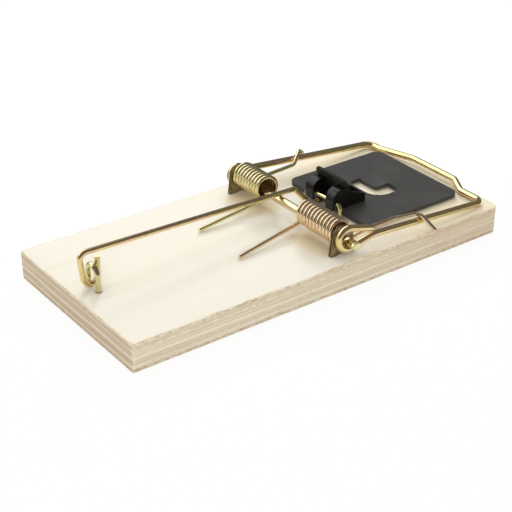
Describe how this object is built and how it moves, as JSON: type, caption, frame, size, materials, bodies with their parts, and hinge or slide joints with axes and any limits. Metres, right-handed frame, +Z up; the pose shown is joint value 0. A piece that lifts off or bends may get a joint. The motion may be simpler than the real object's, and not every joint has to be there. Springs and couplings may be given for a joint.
{
  "type": "snap trap",
  "caption": "Rat-size snap trap on a plywood board with a sprung wire bail, a hinged lock bar and a wide moulded bait pedal.",
  "frame": {"origin": "centre of the board's underside", "axes": "+X along the board towards the bait end, +Y across the board, +Z up out of its top face"},
  "size_m": [0.178, 0.0858, 0.0288],
  "materials": {
    "plywood": "sanded pale plywood, unpainted",
    "bracket_steel": "dull stamped steel with a thin zinc coat",
    "zinc_wire": "steel wire with yellow zinc plate",
    "zinc_staple": "steel wire with greenish zinc plate",
    "pedal_plastic": "moulded charcoal plastic with a fine grain"
  },
  "bodies": {
    "base": {"base_board": "plywood", "bracket_near": "bracket_steel", "bracket_far": "bracket_steel", "pivot_rod": "zinc_wire", "pedal_staple": "zinc_staple", "lock_staple": "zinc_staple", "spring_near": "zinc_wire", "spring_far": "zinc_wire"},
    "bail": {"bail": "zinc_wire"},
    "pedal": {"pedal": "pedal_plastic"},
    "lock_bar": {"lock_bar": "zinc_wire"}
  },
  "joints": [
    {"name": "bail_swing", "type": "hinge", "parent": "base", "child": "bail", "pos_m": [0.011, 0, 0.0188], "axis": [0, -1, 0], "range_deg": [0, 186], "stiffness_Nm_per_rad": 0.28, "springref_deg": -28.65, "deforming": ["spring_near", "spring_far"]},
    {"name": "pedal_tilt", "type": "hinge", "parent": "base", "child": "pedal", "pos_m": [0.0285, 0, 0.0178], "axis": [0, -1, 0], "range_deg": [0, 80]},
    {"name": "lock_bar_swing", "type": "hinge", "parent": "base", "child": "lock_bar", "pos_m": [-0.0798, 0.0002, 0.0215], "axis": [0, -1, 0], "range_deg": [0, 180]}
  ]
}
